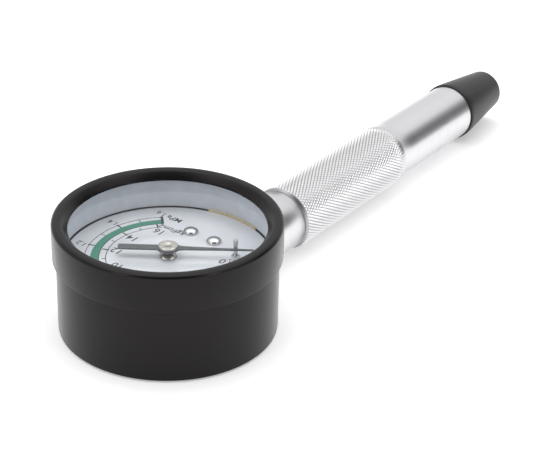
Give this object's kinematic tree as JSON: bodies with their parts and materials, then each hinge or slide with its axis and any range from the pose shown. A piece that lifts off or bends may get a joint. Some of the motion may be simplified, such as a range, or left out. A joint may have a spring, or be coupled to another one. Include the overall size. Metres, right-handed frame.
{
  "type": "compression tester",
  "caption": "Press-on engine compression tester: round dial gauge on a knurled aluminium handle that ends in a conical rubber sealing nozzle.",
  "frame": {"origin": "centre of the flat back of the gauge case, on the dial's axis", "axes": "+Z out through the dial, +Y to 12 o'clock on the dial, the handle runs along -Y"},
  "size_m": [0.06, 0.197, 0.0313],
  "materials": {
    "black_paint": "satin black paint",
    "clear_window": "clear polished",
    "pale_plastic": "satin",
    "dial_white": "gloss white enamel with printed scales",
    "pointer_grey": "dark grey satin",
    "nickel": "satin nickel",
    "steel": "turned steel",
    "bright_steel": "polished",
    "brass": "machined brass",
    "bronze": "drawn phosphor bronze",
    "turned_aluminium": "satin, fine turning marks",
    "knurled_aluminium": "diamond knurl, satin",
    "black_rubber": "smooth moulded rubber",
    "seal_rubber": "matt"
  },
  "bodies": {
    "housing": {"case": "black_paint", "case_screw_1": "steel", "case_screw_2": "steel", "bezel": "black_paint", "window": "clear_window", "window_gasket": "pale_plastic", "spacer_ring": "pale_plastic", "dial_plate": "dial_white", "dial_screw_1": "bright_steel", "dial_screw_2": "bright_steel", "dial_bush": "nickel", "stop_pin": "steel", "hairspring": "bronze", "hairspring_stud": "brass", "movement_front_plate": "brass", "movement_back_plate": "brass", "movement_pillar_1": "brass", "movement_pillar_2": "brass", "movement_pillar_3": "brass", "pillar_screw_1": "steel", "pillar_screw_2": "steel", "pillar_screw_3": "steel", "movement_screw_1": "steel", "movement_screw_2": "steel", "bourdon_tube": "bronze", "socket_block": "brass", "neck_adapter": "turned_aluminium", "neck_o_ring": "seal_rubber", "knurled_grip": "knurled_aluminium", "barrel_tube": "turned_aluminium", "barrel_o_ring": "seal_rubber", "nose_insert": "brass", "cone_nozzle": "black_rubber", "valve_core_body": "brass", "valve_core_seal": "seal_rubber", "valve_spring": "steel"},
    "pointer_group": {"pointer": "pointer_grey", "pointer_boss": "nickel", "pinion_arbor": "steel", "hairspring_collet": "brass"},
    "sector": {"sector_gear": "brass", "sector_arbor": "steel", "tail_pin": "steel"},
    "link_bar": {"link": "nickel"},
    "tube_end": {"bourdon_tip": "brass", "tip_pin": "steel"},
    "valve_stem": {"valve_pin": "steel", "valve_poppet": "seal_rubber"}
  },
  "joints": [
    {"name": "pointer_turn", "type": "hinge", "parent": "housing", "child": "pointer_group", "pos_m": [0, 0, 0.0222], "axis": [0, 0, -1], "range_deg": [0, 262], "stiffness_Nm_per_rad": 0.0001, "springref_deg": -17.19, "deforming": ["hairspring", "bourdon_tube"]},
    {"name": "sector_turn", "type": "hinge", "parent": "housing", "child": "sector", "pos_m": [0, -0.015, 0.0107], "axis": [0, 0, 1], "range_deg": [0, 29.2]},
    {"name": "link_turn", "type": "hinge", "parent": "sector", "child": "link_bar", "pos_m": [0.00365, -0.01976, 0.012], "axis": [0, 0, -1], "range_deg": [0, 31.1]},
    {"name": "tube_tip_swing", "type": "hinge", "parent": "housing", "child": "tube_end", "pos_m": [-0.0018, 0.0049, 0.0094], "axis": [0, 0, 1], "range_deg": [0, 8.8]},
    {"name": "valve_press", "type": "slide", "parent": "housing", "child": "valve_stem", "axis": [0, 1, 0], "range_m": [0, 0.0015], "stiffness_N_per_m": 200, "springref_m": -0.002, "deforming": ["valve_spring"]}
  ],
  "couplings": [
    {"joint": "sector_turn", "follows": "pointer_turn", "ratio": 0.11111},
    {"joint": "link_turn", "follows": "pointer_turn", "ratio": 0.11834},
    {"joint": "tube_tip_swing", "follows": "pointer_turn", "ratio": 0.033408}
  ]
}
